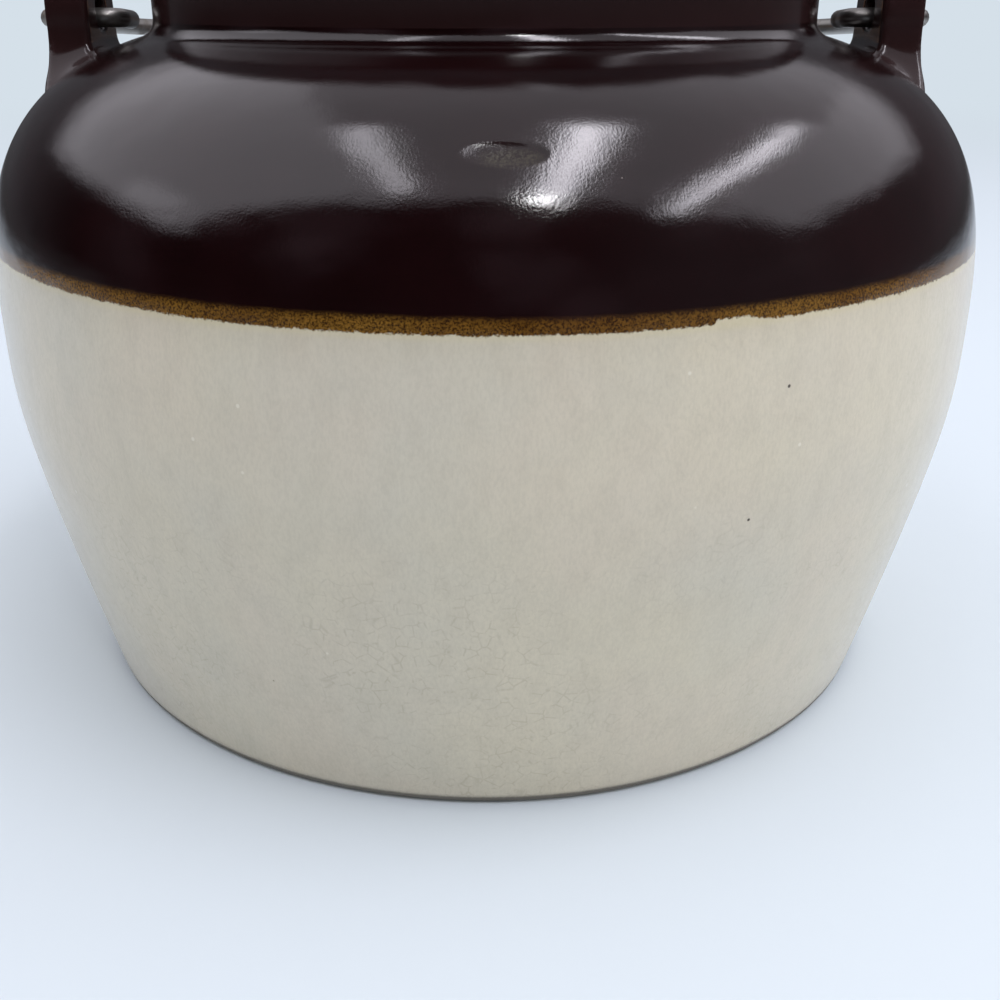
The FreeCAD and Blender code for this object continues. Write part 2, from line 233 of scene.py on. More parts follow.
def pot_outline():
    """The whole outline of the pot, up the outside, over the rim and down the inside to the axis."""
    pot = shape()
    slope = math.tan(math.radians(SHOULDER_LEAN))
    lower, upper = wall_points(0.0, lower_steps=30, upper_steps=92)
    inner_upper = wall_points(pot.wall, lower_steps=16, upper_steps=20)[1]
    neck = neck_radius()
    rim_radius = neck + pot.rim_overhang
    rim_inner = pot.mouth_radius + pot.ledge_width
    rim_bottom = pot.shoulder_height + pot.neck_height
    rim_top = rim_bottom + pot.rim_height
    ledge = rim_top - pot.lid_recess
    outer_end, inner_end = upper[-1], inner_upper[-1]
    over_the_rim = rounded(
        [
            outer_end,
            at(neck, outer_end.z + (outer_end.x - neck) / slope),
            at(neck, rim_bottom),
            at(rim_radius, rim_bottom + pot.rim_overhang),
            at(rim_radius, rim_top),
            at(rim_inner, rim_top),
            at(rim_inner, ledge),
            at(pot.mouth_radius, ledge),
            at(pot.mouth_radius, inner_end.z + (inner_end.x - pot.mouth_radius) / slope),
            inner_end,
        ],
        [radius * MM for radius in (4.0, 2.5, 3.2, 3.2, 3.2, 0.8, 1.5, 4.0)],
    )
    inner_foot = wall_points(pot.wall, lower_steps=2, upper_steps=2)[0][0]
    drop = (pot.floor - inner_foot.z) / math.cos(math.radians(FOOT_LEAN))
    floor_round = 14.0 * MM
    reach = floor_round * math.tan(math.radians(90 - FOOT_LEAN) / 2)
    inner_lower, inner_upper = wall_points(pot.wall, lower_steps=16, upper_steps=20, climb=drop + reach)
    floor_corner = inner_foot + along(FOOT_LEAN) * drop
    floor = rounded([inner_lower[0], floor_corner, at(0, pot.floor)], [floor_round])
    foot_centre = at(foot_base_radius(), pot.foot_round)
    foot_steps = 8
    turns = [-90 + (90 - FOOT_LEAN) * step / foot_steps for step in range(foot_steps)]
    foot_arc = [foot_centre + outwards(-turn) * pot.foot_round for turn in turns]
    inside = inner_upper[::-1] + inner_lower[::-1] + floor
    return spaced([at(0, 0)] + foot_arc + lower + upper[1:] + over_the_rim + inside, 2.5 * MM)


def foot_base_radius():
    """The radius of the flat base inside its rounded edge."""
    return shape().foot_radius - shape().foot_round


def neck_radius():
    """The radius of the neck's outside, under the rim."""
    return shape().mouth_radius + shape().ledge_width + shape().neck_wall


# Meshes


def new_piece(name, surface, body, replaced, materials, smooth_angle=None):
    """Makes a smooth-shaded object from a bmesh. It rides on a body and stands for its nodes."""
    mesh = bpy.data.meshes.new(name)
    surface.to_mesh(mesh)
    surface.free()
    mesh.polygons.foreach_set("use_smooth", [True] * len(mesh.polygons))
    if smooth_angle:
        mesh.set_sharp_from_angle(angle=smooth_angle)
    for material in materials:
        mesh.materials.append(material)
    piece = bpy.data.objects.new(name, mesh)
    bpy.context.scene.collection.objects.link(piece)
    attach(piece, body)
    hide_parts(*replaced)


def spun(outline, axis=(0, 0, 1), doublings=4, steps=18):
    """A closed surface: an outline turned about an axis, as a wedge that is doubled to a full turn."""
    surface = bmesh.new()
    verts = [surface.verts.new(point) for point in outline]
    edges = [surface.edges.new(pair) for pair in zip(verts, verts[1:])]
    angle = FULL_TURN / 2 ** doublings
    bmesh.ops.spin(surface, geom=verts + edges, axis=axis, cent=(0, 0, 0), angle=angle, steps=steps)
    for _ in range(doublings):
        wedge = surface.verts[:] + surface.edges[:] + surface.faces[:]
        copied = bmesh.ops.duplicate(surface, geom=wedge)["geom"]
        verts = [item for item in copied if isinstance(item, bmesh.types.BMVert)]
        bmesh.ops.rotate(surface, verts=verts, cent=(0, 0, 0), matrix=Matrix.Rotation(angle, 3, axis))
        angle *= 2
    bmesh.ops.remove_doubles(surface, verts=surface.verts, dist=2e-6)
    bmesh.ops.dissolve_degenerate(surface, edges=surface.edges, dist=1e-7)
    bmesh.ops.recalc_face_normals(surface, faces=surface.faces)
    return surface


def hand_made(surface, depth, size, moves=lambda point: 1.0):
    """Presses a surface in by up to the depth, in soft patches of the given size, where it moves."""
    surface.normal_update()
    for vert in surface.verts:
        press = 0.5 + 0.5 * noise.noise(vert.co / size)
        vert.co -= vert.normal * depth * press * moves(vert.co)
    surface.normal_update()


def mark_thin_glaze(surface):
    """Stores at each point how sharply the surface turns outwards, where a glaze runs thin.

    The bends are curvatures, in radians to a metre.
    """
    layer = surface.verts.layers.float.new("thin_glaze")
    gentle_bend, sharp_bend = 70.0, 210.0
    for vert in surface.verts:
        bend = 0.0
        for edge in vert.link_edges:
            step = edge.other_vert(vert).co - vert.co
            bend -= 2 * step.dot(vert.normal) / max(step.length_squared, 1e-12)
        bend /= max(len(vert.link_edges), 1)
        vert[layer] = min(max((bend - gentle_bend) / (sharp_bend - gentle_bend), 0.0), 1.0)


# Shader expressions


class Signal:
    """A shader value that sums, differences, products and comparisons can be written with."""

    def __init__(self, nodes, socket):
        self.nodes = nodes
        self.socket = socket

    def maths(self, operation, first, second):
        """The result of a Math node."""
        return self.nodes.add("ShaderNodeMath", {"operation": operation}, {0: first, 1: second})

    def __add__(self, other):
        return self.maths("ADD", self, other)

    def __sub__(self, other):
        return self.maths("SUBTRACT", self, other)

    def __rsub__(self, other):
        return self.maths("SUBTRACT", other, self)

    def __mul__(self, other):
        return self.maths("MULTIPLY", self, other)

    def __lt__(self, other):
        return self.maths("LESS_THAN", self, other)

    __radd__ = __add__
    __rmul__ = __mul__

    def between(self, low, high):
        """0 below low, 1 above high and a soft step between them."""
        settings = {"interpolation_type": "SMOOTHSTEP"}
        inputs = {"Value": self, "From Min": low, "From Max": high}
        return self.nodes.add("ShaderNodeMapRange", settings, inputs)


class Nodes:
    """A node tree, and the coordinates that its patterns are read at."""

    def __init__(self, tree, coordinates):
        self.tree = tree
        self.place = self.add("ShaderNodeTexCoord", output=coordinates)

    def add(self, kind, settings=None, inputs=None, output=0):
        """A node of any kind, with its settings and then the values or links of its sockets."""
        node = self.tree.nodes.new(kind)
        for name, value in (settings or {}).items():
            setattr(node, name, value)
        for name, value in (inputs or {}).items():
            self.feed(node.inputs[name], value)
        return Signal(self, node.outputs[output])

    def feed(self, socket, value):
        """Links a shader value to a socket, or sets the socket to a plain value."""
        if isinstance(value, Signal):
            self.tree.links.new(value.socket, socket)
        elif socket.type == "RGBA" and len(value) == 3:
            socket.default_value = (*value, 1.0)
        else:
            socket.default_value = value

    def mix(self, factor, first, second):
        """The first colour, and the second one as the factor goes to 1."""
        node = self.tree.nodes.new("ShaderNodeMix")
        node.data_type = "RGBA"
        sockets = {socket.identifier: socket for socket in node.inputs}
        self.feed(sockets["Factor_Float"], factor)
        self.feed(sockets["A_Color"], first)
        self.feed(sockets["B_Color"], second)
        result = next(socket for socket in node.outputs if socket.identifier == "Result_Color")
        return Signal(self, result)

    def stretched(self, scale, location=(0, 0, 0)):
        """The place, scaled apart along each axis."""
        inputs = {"Vector": self.place, "Scale": scale, "Location": location}
        return self.add("ShaderNodeMapping", None, inputs)

    def clouds(self, scale, detail=3.0, roughness=0.55, place=None, distortion=0.0):
        """Noise from 0 to 1, with that many features to a metre."""
        inputs = {
            "Vector": place or self.place,
            "Scale": scale,
            "Detail": detail,
            "Roughness": roughness,
            "Distortion": distortion,
        }
        return self.add("ShaderNodeTexNoise", None, inputs)

    def cells(self, scale, feature="F1", randomness=1.0, place=None):
        """The distance to the nearest cell centre or cell edge, in cell sizes."""
        inputs = {"Vector": place or self.place, "Scale": scale, "Randomness": randomness}
        return self.add("ShaderNodeTexVoronoi", {"feature": feature}, inputs, output="Distance")

    def axis(self, name):
        """One coordinate of the place."""
        return self.add("ShaderNodeSeparateXYZ", None, {0: self.place}, output=name)

    def stored(self, name):
        """A value that the piece's mesh holds at each point."""
        return self.add("ShaderNodeAttribute", {"attribute_name": name}, output="Fac")

    def bump(self, height, strength, distance, under=None):
        """A normal that follows a height, over an earlier normal where there is one."""
        inputs = {"Height": height, "Strength": strength, "Distance": distance}
        if under:
            inputs["Normal"] = under
        return self.add("ShaderNodeBump", None, inputs)


class Coat(Nodes):
    """One material's node tree, which reads Object coordinates and ends in a Principled BSDF."""

    def __init__(self, name, **constants):
        self.material = bpy.data.materials.new(name)
        self.material.use_nodes = True
        super().__init__(self.material.node_tree, "Object")
        self.shader = self.tree.nodes["Principled BSDF"]
        for socket, value in constants.items():
            self.shader.inputs[socket.replace("_", " ")].default_value = value

    def dress(self, **sockets):
        """Feeds the shader's own sockets."""
        for socket, value in sockets.items():
            self.feed(self.shader.inputs[socket.replace("_", " ")], value)
        return self.material


# Finishes


def brown_over(coat, thin):
    """The brown glaze's colour, rust where it runs thin, with faint red clouds."""
    colours = finish()
    clouds = coat.clouds(45.0, 4.0).between(0.35, 0.75)
    deep = coat.mix(clouds * 0.45, colours.brown, [value * 2.0 for value in colours.brown])
    ragged = (thin + (coat.clouds(420.0, 3.0) - 0.5) * 0.5).between(0.35, 0.95)
    return coat.mix(ragged * 0.8, deep, colours.rust)


def specks(coat, scale, size, share, seed):
    """Small round spots of about the size, in cell sizes, in that share of the cells."""
    place = coat.stretched((1, 1, 1), (seed, seed * 0.7, -seed))
    near = coat.cells(scale, place=place)
    chosen = coat.add(
        "ShaderNodeTexVoronoi", {"feature": "F1"}, {"Vector": place, "Scale": scale}, output="Color"
    )
    red = coat.add("ShaderNodeSeparateColor", None, {0: chosen}, output=0)
    return (1 - near.between(size * 0.5, size)) * (red < share)


def glaze_ripple(coat):
    """The fine orange-peel grain of a thick glaze, over slow swells left by the wheel."""
    grain = coat.clouds(2400.0, 3.0, 0.6)
    swells = coat.clouds(85.0, 2.0, 0.4, coat.stretched((1.0, 1.0, 1.8)))
    fine = coat.bump(grain, 0.40, 0.045 * MM)
    return coat.bump(swells, 0.30, 0.5 * MM, fine)


def rub_mark(coat):
    """1 in the oval rub mark on the front of the shoulder, with a ragged edge, and 0 elsewhere.

    The rub is smaller than the hollow that press_mark makes, and lies in its lower right.
    """
    centre = MARK_CENTRE + Vector((1.4, 0.0, -0.5)) * MM
    half_length, half_height = 5.8 * MM, 1.5 * MM
    oval = coat.stretched(
        (1 / half_length, 0.0, 1 / half_height), (-centre.x / half_length, 0.0, -centre.z / half_height)
    )
    reach = coat.add("ShaderNodeVectorMath", {"operation": "LENGTH"}, {0: oval}, output="Value")
    reach = reach + (coat.clouds(600.0, 4.0, 0.6) - 0.5) * 0.4
    grains = coat.clouds(2600.0, 4.0, 0.7).between(0.40, 0.58)
    return (1 - reach.between(0.45, 1.05)) * grains * (coat.axis("Y") < 0.0)


def two_tone_glaze():
    """The outside of the pot: cream below, brown above, with the amber band between them."""
    colours = finish()
    coat = Coat("two_tone_glaze", IOR=GLAZE_IOR)
    height = coat.axis("Z")
    wander = (coat.clouds(14.0, 2.0) - 0.5) * 1.0 * MM
    ragged = (coat.clouds(330.0, 5.0, 0.65) - 0.5) * 0.9 * MM
    ragged = ragged + (coat.clouds(2200.0, 3.0, 0.6) - 0.5) * 1.1 * MM
    front = 0.0 - coat.axis("Y")
    angle = front.maths("ARCTAN2", coat.axis("X"), front)
    skipped = angle.between(0.336, 0.342) * (1 - angle.between(0.39, 0.44)) * 0.75 * MM
    lower = height + wander * 0.6 + ragged - skipped
    upper = height + wander + (coat.clouds(150.0, 3.0) - 0.5) * 0.8 * MM
    is_glazed_brown = lower.between(colours.band_bottom - 0.20 * MM, colours.band_bottom + 0.20 * MM)
    is_deep = upper.between(colours.band_top - 0.6 * MM, colours.band_top + 0.9 * MM)

    # The cream: clouds, upright mottle, fine grain, crazing, pits, light specks and the dark foot, which is
    # painted shade under the rounded foot mixed with its soiled edge
    warm = coat.clouds(24.0, 4.0, 0.5).between(0.3, 0.7)
    rosy_place = coat.stretched((1.0, 1.0, 0.7), (0.3, 0.1, 0.2))
    rosy = coat.clouds(38.0, 3.0, 0.5, rosy_place).between(0.4, 0.75)
    cream = coat.mix(warm, colours.cream_grey, colours.cream)
    cream = coat.mix(rosy * 0.6, cream, linear(208, 195, 174))
    upright = coat.stretched((1.0, 1.0, 0.45))
    mottle = coat.clouds(260.0, 4.0, 0.6, upright).between(0.38, 0.72)
    cream = coat.mix(mottle * 0.16, cream, linear(168, 158, 138))
    fine_grain = coat.clouds(1900.0, 3.0, 0.65, upright).between(0.35, 0.70)
    cream = coat.mix(fine_grain * 0.16, cream, linear(156, 148, 130))
    broken = coat.clouds(500.0, 3.0).between(0.42, 0.60)
    craze = (1 - coat.cells(380.0, "DISTANCE_TO_EDGE").between(0.01, 0.08)) * broken
    craze_place = coat.stretched((1, 1, 1), (0.4, 0.2, 0.1))
    craze_area = coat.clouds(26.0, 3.0, 0.5, craze_place).between(0.38, 0.62)
    craze_area = craze_area * (1 - height.between(38 * MM, 72 * MM) * 0.8)
    cream = coat.mix(craze * craze_area * 0.20, cream, linear(132, 116, 96))
    pits = specks(coat, 90.0, 0.036, 0.60, 3.1)
    cream = coat.mix(pits, cream, linear(70, 58, 44))
    cream = coat.mix(specks(coat, 100.0, 0.045, 0.50, 1.7) * 0.6, cream, linear(226, 220, 204))
    # Painted contact shade along the lower edge of the foot, partly also the foot's soiled bare edge, and
    # rougher there
    foot_shade_and_soil = 1 - (height + ragged * 0.3).between(1.5 * MM, 2.6 * MM)
    cream = coat.mix(foot_shade_and_soil * 0.85, cream, linear(58, 52, 44))

    # The band and the brown above it, with the yellow halo that the band leaves in the cream
    halo = (height + wander * 0.6).between(colours.band_bottom - 1.6 * MM, colours.band_bottom)
    cream = coat.mix(halo * 0.35, cream, linear(206, 194, 150))
    speckle = coat.clouds(2600.0, 3.0, 0.7).between(0.38, 0.62)
    thick = coat.clouds(30.0, 3.0).between(0.40, 0.65)
    amber = coat.mix(thick * 0.6, colours.amber, linear(84, 50, 12))
    band = coat.mix(speckle * 0.85, amber, linear(40, 18, 3))
    brown = brown_over(coat, coat.stored("thin_glaze"))
    dust = specks(coat, 150.0, 0.030, 0.70, 7.3)
    brown = coat.mix(dust * 0.6, brown, linear(*DUST_GREY))
    upper_colour = coat.mix(is_deep, band, brown)
    colour_all = coat.mix(is_glazed_brown, cream, upper_colour)
    mark = rub_mark(coat)
    colour_all = coat.mix(mark * 0.55, colour_all, linear(66, 61, 42))

    roughness = 0.11 + (1 - is_glazed_brown) * 0.09 + mark * 0.10 + foot_shade_and_soil * 0.4
    return coat.dress(Base_Color=colour_all, Roughness=roughness, Normal=glaze_ripple(coat))


def brown_glaze():
    """The brown glaze alone, on the inside, the lid, the knob and the ears."""
    coat = Coat("brown_glaze", IOR=GLAZE_IOR)
    brown = brown_over(coat, coat.stored("thin_glaze"))
    dust = specks(coat, 150.0, 0.030, 0.70, 5.7)
    brown = coat.mix(dust * 0.5, brown, linear(*DUST_GREY))
    roughness = 0.11 + coat.clouds(60.0, 3.0).between(0.5, 0.8) * 0.07
    return coat.dress(Base_Color=brown, Roughness=roughness, Normal=glaze_ripple(coat))


def bare_clay():
    """Unglazed stoneware, sandy and matt."""
    colours = finish()
    coat = Coat("bare_clay")
    grains = coat.clouds(2600.0, 4.0, 0.7)
    tone = coat.clouds(70.0, 4.0).between(0.3, 0.7)
    clay = coat.mix(tone, colours.clay, [value * 0.78 for value in colours.clay])
    clay = coat.mix(grains.between(0.55, 0.75) * 0.4, clay, linear(92, 76, 58))
    return coat.dress(Base_Color=clay, Roughness=0.82, Normal=coat.bump(grains, 0.35, 0.15 * MM))


def drawn_steel():
    """Dull drawn wire with a brown bloom of age."""
    coat = Coat("drawn_steel", Metallic=1.0)
    bloom = coat.clouds(90.0, 5.0, 0.65).between(0.48, 0.70)
    steel = coat.mix(bloom * 0.65, finish().steel, linear(92, 74, 60))
    drawn = coat.clouds(2400.0, 3.0, 0.6)
    return coat.dress(
        Base_Color=steel,
        Roughness=0.30 + bloom * 0.25 + drawn * 0.10,
        Metallic=1.0 - bloom * 0.35,
        Normal=coat.bump(drawn, 0.15, 0.08 * MM),
    )


def turned_wood():
    """Turned hardwood with long grain along the grip, darker in its grooves and worn at its edges."""
    colours = finish()
    coat = Coat("turned_wood")
    grain = coat.clouds(4.2, 6.0, 0.65, coat.stretched((9.0, 80.0, 80.0)), 0.6)
    rings = coat.add(
        "ShaderNodeTexWave",
        {"wave_type": "BANDS", "bands_direction": "Z"},
        {"Vector": coat.stretched((2.0, 22.0, 36.0)), "Scale": 2.6, "Distortion": 6.0, "Detail": 4.0},
        output="Fac",
    )
    fibres = coat.clouds(6.0, 4.0, 0.7, coat.stretched((12.0, 320.0, 320.0)))
    pores = coat.clouds(30.0, 3.0, 0.6, coat.stretched((2.0, 60.0, 60.0))).between(0.60, 0.72)
    wood = coat.mix((grain * 0.55 + rings * 0.3).between(0.2, 0.75), colours.wood, colours.wood_dark)
    wood = coat.mix(fibres.between(0.45, 0.75) * 0.35, wood, colours.wood_dark)
    wood = coat.mix(pores * 0.5, wood, linear(52, 30, 15))
    reach = coat.add("ShaderNodeMath", {"operation": "ABSOLUTE"}, {0: coat.axis("X")})
    # Darker and a little rougher in the grooves beside the barrel
    groove_darkening = reach.between(GRIP_BARREL_HALF, 31.0 * MM) * (1 - reach.between(31.6 * MM, 32.6 * MM))
    wood = coat.mix(groove_darkening * 0.75, wood, linear(38, 22, 12))
    ends = reach.between(43.4 * MM, GRIP_HALF_LENGTH)
    wood = coat.mix(ends * 0.5, wood, linear(62, 38, 22))
    wood = coat.mix(coat.stored("thin_glaze") * 0.25, wood, linear(186, 140, 92))
    handled = coat.clouds(40.0, 3.0).between(0.4, 0.7)
    wood = coat.mix(handled * 0.25, wood, colours.wood_dark)
    fine = coat.bump(fibres, 0.35, 0.05 * MM)
    return coat.dress(
        Base_Color=wood,
        Roughness=0.34 + handled * 0.14 + groove_darkening * 0.2,
        Normal=coat.bump(pores * -1.0, 0.35, 0.08 * MM, fine),
    )


def shared_finish(maker):
    """A finish, made once and then used by every piece that has it."""
    return bpy.data.materials.get(maker.__name__) or maker()


# Pieces


class POT_OT_body(bpy.types.Operator):
    """Turn the pot's body, press the rub mark into its shoulder and glaze it"""

    bl_idname = "bean_pot.body"
    bl_label = "Pot body"

    def execute(self, context):
        body = spun(pot_outline(), steps=20)
        wall = SideProfile()
        hand_made(body, depth=0.22 * MM, size=38 * MM, moves=wall.is_outer)
        mark_thin_glaze(body)
        press_mark(body)
        bare_height, bare_radius = 1.0 * MM, shape().foot_radius - 0.8 * MM
        for face in body.faces:
            middle = face.calc_center_median()
            if middle.z < bare_height and math.hypot(middle.x, middle.y) < bare_radius:
                face.material_index = 2
            elif not wall.is_outer(middle):
                face.material_index = 1
        finishes = [shared_finish(maker) for maker in (two_tone_glaze, brown_glaze, bare_clay)]
        new_piece("glazed_pot_body", body, "pot", ["pot_body"], finishes)
        return {"FINISHED"}


class SideProfile:
    """The outer wall from foot to neck, to tell how far a point stands off it."""

    def __init__(self):
        lower, upper = wall_points(0.0, lower_steps=90, upper_steps=140)
        neck = [at(neck_radius(), upper[-1].z + step * MM) for step in range(1, 9)]
        self.points = lower + upper[1:] + neck
        self.tree = KDTree(len(self.points))
        for index, point in enumerate(self.points):
            self.tree.insert(point, index)
        self.tree.balance()

    def stand_off(self, point):
        """How far a point lies outside the wall, and the wall's outward direction there."""
        radius = max(math.hypot(point.x, point.y), 1e-9)
        flat_point = at(radius, point.z)
        index = self.tree.find(flat_point)[1]
        before = self.points[max(index - 1, 0)]
        after = self.points[min(index + 1, len(self.points) - 1)]
        run = (after - before).normalized()
        normal = at(run.z, -run.x)
        distance = (flat_point - self.points[index]).dot(normal)
        side = Vector((point.x / radius, point.y / radius, 0))
        return distance, side * normal.x + Vector((0, 0, normal.z))

    def is_outer(self, point):
        """Whether a point of the pot's surface is on its outer side, below the neck's middle."""
        base_height, neck_height, skin = 0.01 * MM, 3 * MM, 1.5 * MM
        if point.z > shape().shoulder_height + neck_height or point.z < base_height:
            return False
        return abs(self.stand_off(point)[0]) < skin


def press_mark(surface):
    """Presses the shallow oval rub mark into the front of the shoulder."""
    side = Vector((1, 0, 0))
    up_slope = Vector((0, 1, 1)).normalized()
    half_length, half_width, depth = 6.8 * MM, 2.3 * MM, 0.5 * MM
    near_enough, longest_edge = 1.4 * half_length, 0.5 * MM
    near = [vert for vert in surface.verts if (vert.co - MARK_CENTRE).length < near_enough]
    edges = {edge for vert in near for edge in vert.link_edges if edge.calc_length() > longest_edge}
    bmesh.ops.subdivide_edges(surface, edges=list(edges), cuts=2, use_grid_fill=True)
    surface.normal_update()
    for vert in surface.verts:
        step = vert.co - MARK_CENTRE
        if step.length > near_enough:
            continue
        share = math.hypot(step.dot(side) / half_length, step.dot(up_slope) / half_width)
        vert.co -= vert.normal * depth * max(0.0, 1 - share * share)
    surface.normal_update()


def dome_points(edge_radius, edge_height, rise, inner_radius, steps):
    """The points of a dome's outline, from its edge in to a radius."""
    ball = (edge_radius ** 2 + rise ** 2) / (2 * rise)
    radii = [edge_radius + (inner_radius - edge_radius) * step / steps for step in range(steps + 1)]
    top = edge_height + rise - ball
    return [at(radius, top + math.sqrt(ball ** 2 - radius ** 2)) for radius in radii]


def lid_levels():
    """The lid's edge radius, dome radius and bottom, and the height of the pad under its knob."""
    pot = shape()
    side_gap, seat_gap, edge_round = 1.2 * MM, 0.3 * MM, 2.4 * MM
    edge_radius = pot.mouth_radius + pot.ledge_width - side_gap
    dome_radius = edge_radius - edge_round
    rim_top = pot.shoulder_height + pot.neck_height + pot.rim_height
    bottom = rim_top - pot.lid_recess + seat_gap
    pad = dome_points(dome_radius, bottom + pot.lid_edge, pot.lid_rise, KNOB_FOOT_RADIUS, 1)[-1].z
    return edge_radius, dome_radius, bottom, pad


class POT_OT_lid(bpy.types.Operator):
    """Turn the domed lid with its bare seat ring and hollow underside"""

    bl_idname = "bean_pot.lid"
    bl_label = "Lid"

    def execute(self, context):
        edge_radius, dome_radius, bottom, pad = lid_levels()
        edge_top = bottom + shape().lid_edge
        seat_width, thickness, bare_height = 9.0 * MM, 6.0 * MM, 0.7 * MM
        hollow_radius = edge_radius - seat_width
        rim = rounded(
            [at(hollow_radius, bottom), at(edge_radius, bottom), at(edge_radius, edge_top),
             at(dome_radius, edge_top)],
            [1.2 * MM, 2.39 * MM],
        )
        top = dome_points(dome_radius, edge_top, shape().lid_rise, 0.0, 40)
        top = [point if point.x > KNOB_FOOT_RADIUS else at(point.x, pad) for point in top]
        hollow = dome_points(hollow_radius, bottom, pad - thickness - bottom, 0.0, 24)[::-1]
        surface = spun(spaced(hollow + rim[1:] + top[1:], 2.5 * MM), steps=14)
        hand_made(surface, depth=0.15 * MM, size=30 * MM, moves=lambda point: point.z > edge_top)
        mark_thin_glaze(surface)
        for face in surface.faces:
            middle = face.calc_center_median()
            if middle.z < bottom + bare_height and math.hypot(middle.x, middle.y) > hollow_radius:
                face.material_index = 1
        finishes = [shared_finish(brown_glaze), shared_finish(bare_clay)]
        new_piece("glazed_lid", surface, "lid", ["lid"], finishes)
        return {"FINISHED"}


class POT_OT_lid_knob(bpy.types.Operator):
    """Turn the waisted knob that lifts the lid"""

    bl_idname = "bean_pot.lid_knob"
    bl_label = "Lid knob"

    def execute(self, context):
        bottom = lid_levels()[3]
        head_radius = shape().knob_radius
        waist_radius, waist_height = 8.5 * MM, bottom + 4.5 * MM
        head_bottom, head_height, head_round = bottom + 9.0 * MM, 7.0 * MM, 3.0 * MM
        head_top, foot_height = head_bottom + head_height, bottom + 2 * MM
        crown_radius, crown_rise = head_radius - head_round, 3.0 * MM
        side = rounded(
            [at(0, bottom), at(KNOB_FOOT_RADIUS, bottom), at(waist_radius, waist_height),
             at(head_radius, head_bottom), at(head_radius, head_top), at(crown_radius, head_top)],
            [0.8 * MM, 4.0 * MM, head_round, head_round - 0.01 * MM],
            steps=12,
        )
        crown = dome_points(crown_radius, head_top, crown_rise, 0.0, 16)
        surface = spun(spaced(side + crown[1:], 1.2 * MM), steps=8)
        hand_made(surface, depth=0.12 * MM, size=14 * MM, moves=lambda point: point.z > foot_height)
        mark_thin_glaze(surface)
        finishes = [shared_finish(brown_glaze)]
        new_piece("glazed_lid_knob", surface, "lid", ["lid_knob"], finishes)
        return {"FINISHED"}


def ear_levels():
    """The ear's inner face, its hole's height and the height and half width of its root."""
    pot = shape()
    inner_x = neck_radius() + pot.rim_overhang + EAR_STAND_OFF
    low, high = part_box("ear_right")
    hole_height = high.z - pot.ear_half_width
    return inner_x, hole_height, low.z, pot.ear_half_width + EAR_ROOT_FILLET


def evaluated(name, surface, modifiers):
    """The mesh that a bmesh becomes with some modifiers applied."""
    mesh = bpy.data.meshes.new(name)
    surface.to_mesh(mesh)
    surface.free()
    draft = bpy.data.objects.new(name, mesh)
    bpy.context.scene.collection.objects.link(draft)
    for kind, settings in modifiers:
        modifier = draft.modifiers.new(kind.title(), kind)
        for setting, value in settings.items():
            setattr(modifier, setting, value)
    return mesh_of(draft)


def mesh_of(draft):
    """The mesh that a draft object shows, after which the draft is gone."""
    depsgraph = bpy.context.evaluated_depsgraph_get()
    mesh = bpy.data.meshes.new_from_object(draft.evaluated_get(depsgraph))
    bpy.data.objects.remove(draft)
    return mesh


def make_ear_surface():
    """The right-hand ear: an upright lug with a round top, whose root flows into the shoulder."""
    pot = shape()
    inner_x, hole_height, root, root_half = ear_levels()
    edge_bevel, voxel, buried = 2.4 * MM, 0.5 * MM, Vector((0, 0, 2 * MM))
    half, top = pot.ear_half_width, hole_height + pot.ear_half_width
    outline = [(-root_half, root), (-half, root), (-half, top), (half, top), (half, root), (root_half, root)]
    points = [Vector((inner_x, y, z)) for y, z in outline]
    rounds = [EAR_ROOT_FILLET, half * 0.999, half * 0.999, EAR_ROOT_FILLET]
    path = [points[0] - buried] + rounded(points, rounds, steps=20) + [points[-1] - buried]
    lug = bmesh.new()
    face = lug.faces.new([lug.verts.new(point) for point in path])
    rim = bmesh.ops.extrude_face_region(lug, geom=[face])["geom"]
    moved = [item for item in rim if isinstance(item, bmesh.types.BMVert)]
    bmesh.ops.translate(lug, verts=moved, vec=(EAR_THICKNESS, 0, 0))
    bmesh.ops.recalc_face_normals(lug, faces=lug.faces)
    rims = [edge for edge in lug.edges if abs(edge.verts[0].co.x - edge.verts[1].co.x) < TINY]
    bmesh.ops.bevel(
        lug, geom=rims, offset=edge_bevel, segments=5, profile=0.5, affect="EDGES", material=-1,
        clamp_overlap=True,
    )
    cutter = bmesh.new()
    bmesh.ops.create_cone(
        cutter, cap_ends=True, segments=48, radius1=pot.ear_hole_radius, radius2=pot.ear_hole_radius,
        depth=3 * EAR_THICKNESS,
    )
    bmesh.ops.rotate(cutter, verts=cutter.verts, matrix=Matrix.Rotation(math.radians(90), 3, "Y"))
    middle = (inner_x + EAR_THICKNESS / 2, 0, hole_height)
    bmesh.ops.translate(cutter, verts=cutter.verts, vec=middle)
    cutter_mesh = bpy.data.meshes.new("ear_hole")
    cutter.to_mesh(cutter_mesh)
    cutter.free()
    cutter_object = bpy.data.objects.new("ear_hole", cutter_mesh)
    bpy.context.scene.collection.objects.link(cutter_object)
    mesh = evaluated(
        "ear_draft",
        lug,
        [
            ("BOOLEAN", {"object": cutter_object, "operation": "DIFFERENCE", "solver": "EXACT"}),
            ("REMESH", {"mode": "VOXEL", "voxel_size": voxel}),
            ("SMOOTH", {"factor": 0.5, "iterations": 8}),
        ],
    )
    bpy.data.objects.remove(cutter_object)
    surface = bmesh.new()
    surface.from_mesh(mesh)
    flow_into_wall(surface, cove=3.5 * MM)
    return surface


